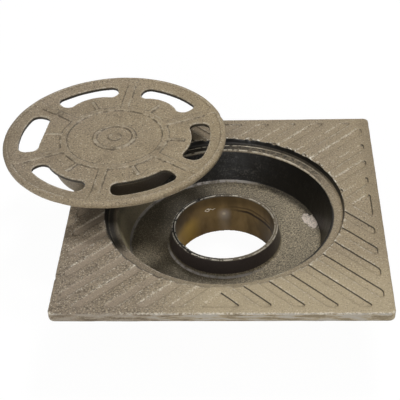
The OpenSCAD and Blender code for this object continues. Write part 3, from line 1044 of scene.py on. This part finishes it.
def ledge_skin(shader, colour, ledge, radius, back, left):
    """Stains, crusts, painted shade and painted highlight lines on the ledge."""
    dirt = shader.noise(3.2 * MM, detail=4, rough=0.65, shift=6.6).ramp(0.44, 0.56)
    mid = radius.band(LEDGE_INNER_R + 1.6 * MM, RECESS_R - 2.6 * MM, 0.8 * MM)
    stained = 0.1 + back * 0.48 + mid * dirt * back * 0.36
    colour = shader.blend(ledge * stained, colour, LEDGE_DIRT)
    crusts = shader.noise(2.4 * MM, detail=4, rough=0.7, shift=25.3).ramp(0.50, 0.55)
    colour = shader.blend(ledge * mid * back * crusts * 0.8, colour, COAT_BLACK)
    # painted shade at the back towards the left, under the lifted grate
    shaded = back * shader.x.ramp(28 * MM, -2 * MM)
    colour = shader.blend(ledge * shaded * 0.75, colour, COAT_BLACK)
    colour = shader.blend(ledge * left * 0.9, colour, LEDGE_DIRT)
    outer = radius.ramp(LEDGE_INNER_R + 1.5 * MM, LEDGE_INNER_R + 3.2 * MM)
    colour = shader.blend(ledge * left * outer * 0.85, colour, COAT_BLACK)
    # painted highlights near each edge of the ledge
    lines = ledge_lines(shader, ledge, radius, back, left)
    colour = shader.blend(lines, colour, shader.blend(back * 0.5, IRON_WORN, IRON_BRIGHT))
    # painted shade in the corner behind the outer line
    corner_shade = ledge * back * radius.ramp(LEDGE_INNER_R + 5.6 * MM, LEDGE_INNER_R + 6.4 * MM)
    return shader.blend(corner_shade * 0.85, colour, COAT_BLACK)


print("ledge from", round(LEDGE_INNER_R / MM, 1), "to", round(RECESS_R / MM, 1), "mm radius")

# %% [markdown]
# Now the zones are laid over each other: plate, ledge, recess wall, bowl, the upstand's rim and
# the bore. The recess wall is black from its coat and from painted shade. The coat covers the
# inside of the bowl up to the ledge, and it laps a little over the ledge at the right. The outside
# of the bowl and the spigot stay bare, so the coat ends at a cone inside the bowl's wall. The rim
# of the upstand has two bright lines where its rounding starts, partly chipped and partly painted
# highlight. The coat is smoother than the bare iron, and the film in the bore and the far right of
# the bowl's wall are dull.

# %% Body finish
LEDGE_STAIN = linear(74, 66, 50)
COAT_ROUGH = 0.36
BORE_ROUGH = 0.5


def coat_reach(shader, radius, back):
    """1 where the coat lies on the inside of the bowl and on the upstand."""
    right = shader.x.ramp(30 * MM, 62 * MM)
    low_side = right * shader.y.ramp(14 * MM, -10 * MM)
    lapped = radius - (right * 0.4 + low_side * 0.7) * MM
    edge_z = shader.z - (right * 0.4 + low_side * 0.5) * MM + back * (0.6 * MM)
    deep = lapped.ramp(LEDGE_INNER_R + 0.9 * MM, LEDGE_INNER_R - 0.1 * MM)
    deep = deep * edge_z.ramp(LEDGE_Z - 0.1 * MM, LEDGE_Z - 0.8 * MM)
    cone = radius - shader.z * WALL_SLOPE
    inner = cone.ramp(WALL_FOOT_R + 2.6 * MM, WALL_FOOT_R + 1.4 * MM)
    return deep * shader.z.ramp(14.0 * MM, 17.0 * MM) * inner


def upstand_rim(shader, colour, rim, radius):
    """The rim, brown at the right and black at the left, with its two bright lines, chipped and
    painted as highlights.
    """
    dull = shader.x.ramp(20 * MM, -20 * MM)
    stain = shader.blend(dull, LEDGE_STAIN, COAT_BLACK)
    colour = shader.blend(rim * (0.72 + dull * 0.25), colour, stain)
    # the bright lines where the rounding starts are partly chips and partly painted highlight
    inner = radius.band(32.5 * MM, 32.9 * MM, 0.25 * MM)
    outer = radius.band(34.2 * MM, 34.6 * MM, 0.25 * MM)
    chips = shader.noise(2.2 * MM, detail=3, shift=16.4).ramp(0.42, 0.54)
    chips = chips * (0.65 - shader.x.ramp(0.0, 28 * MM) * 0.3)
    return shader.blend(rim * (inner + outer).clamped() * chips, colour, IRON_BRIGHT)


def body_finish():
    material = bpy.data.materials.new("body_iron")
    shader = Shader(material)
    colour, rough, height = plate_skin(shader)
    radius = shader.radius()
    back = shader.y.ramp(10 * MM, 55 * MM)
    left = shader.x.ramp(-25 * MM, -50 * MM) * shader.y.ramp(-43 * MM, -30 * MM)

    recess = radius.ramp(RECESS_R + 0.5 * MM, RECESS_R + 0.1 * MM)
    recess = recess * shader.z.ramp(LEDGE_Z - 1.0 * MM, LEDGE_Z + 0.2 * MM)
    recess = recess * shader.z.ramp(PLATE_TOP - 0.35 * MM, PLATE_TOP - 0.9 * MM)
    walls = recess * shader.z.ramp(LEDGE_Z + 0.8 * MM, LEDGE_Z + 1.3 * MM)
    colour = ledge_skin(shader, colour, recess * (1 - walls), radius, back, left)
    # the recess wall is black from its coat and from painted shade
    colour = shader.blend(walls * (1 - left * 0.15), colour, COAT_BLACK)

    coated = coat_reach(shader, radius, back)
    rim = shader.z.ramp(UPSTAND_TOP - 1.0 * MM, UPSTAND_TOP - 0.5 * MM)
    rim = rim * radius.ramp(40 * MM, 38 * MM)
    bowl = coated * (1 - rim)
    on_floor = shader.z.ramp(BOWL_FLOOR_Z + 0.9 * MM, BOWL_FLOOR_Z + 0.4 * MM)
    colour = shader.blend(bowl, colour, bowl_skin(shader, radius, on_floor))
    colour = upstand_rim(shader, colour, coated * rim, radius)

    bore = radius.ramp(BORE_R + 1.0 * MM, BORE_R + 0.4 * MM)
    bore = bore * shader.z.ramp(UPSTAND_TOP - 0.6 * MM, UPSTAND_TOP - 1.4 * MM)
    colour = shader.blend(bore, colour, bore_skin(shader))

    glossy = (bowl * (1 - on_floor) + walls).clamped() * (1 - left * 0.8)
    rough = rough * (1 - glossy) + glossy * COAT_ROUGH
    rough = rough * (1 - bore) + bore * BORE_ROUGH
    unlit = bowl * shader.x.ramp(36 * MM, 58 * MM) * (1 - on_floor) * 0.35
    height = height * (1 - bore * 0.7)
    finish_iron(shader, colour, rough, height, dull=(bore + unlit).clamped())
    return material


for piece, node, slot, material in (
    (body, "drain_body", "body_casting", body_finish()),
    (grate, "grate_cover", "grate_casting", grate_finish()),
):
    piece.data.materials.clear()
    piece.data.materials.append(material)
    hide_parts(node)
    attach(piece, "root")
    print(piece.name, "wears", material.name, "of", len(material.node_tree.nodes), "nodes")

# %% [markdown]
# A casting's skin may not reach outside the size that the solids have.
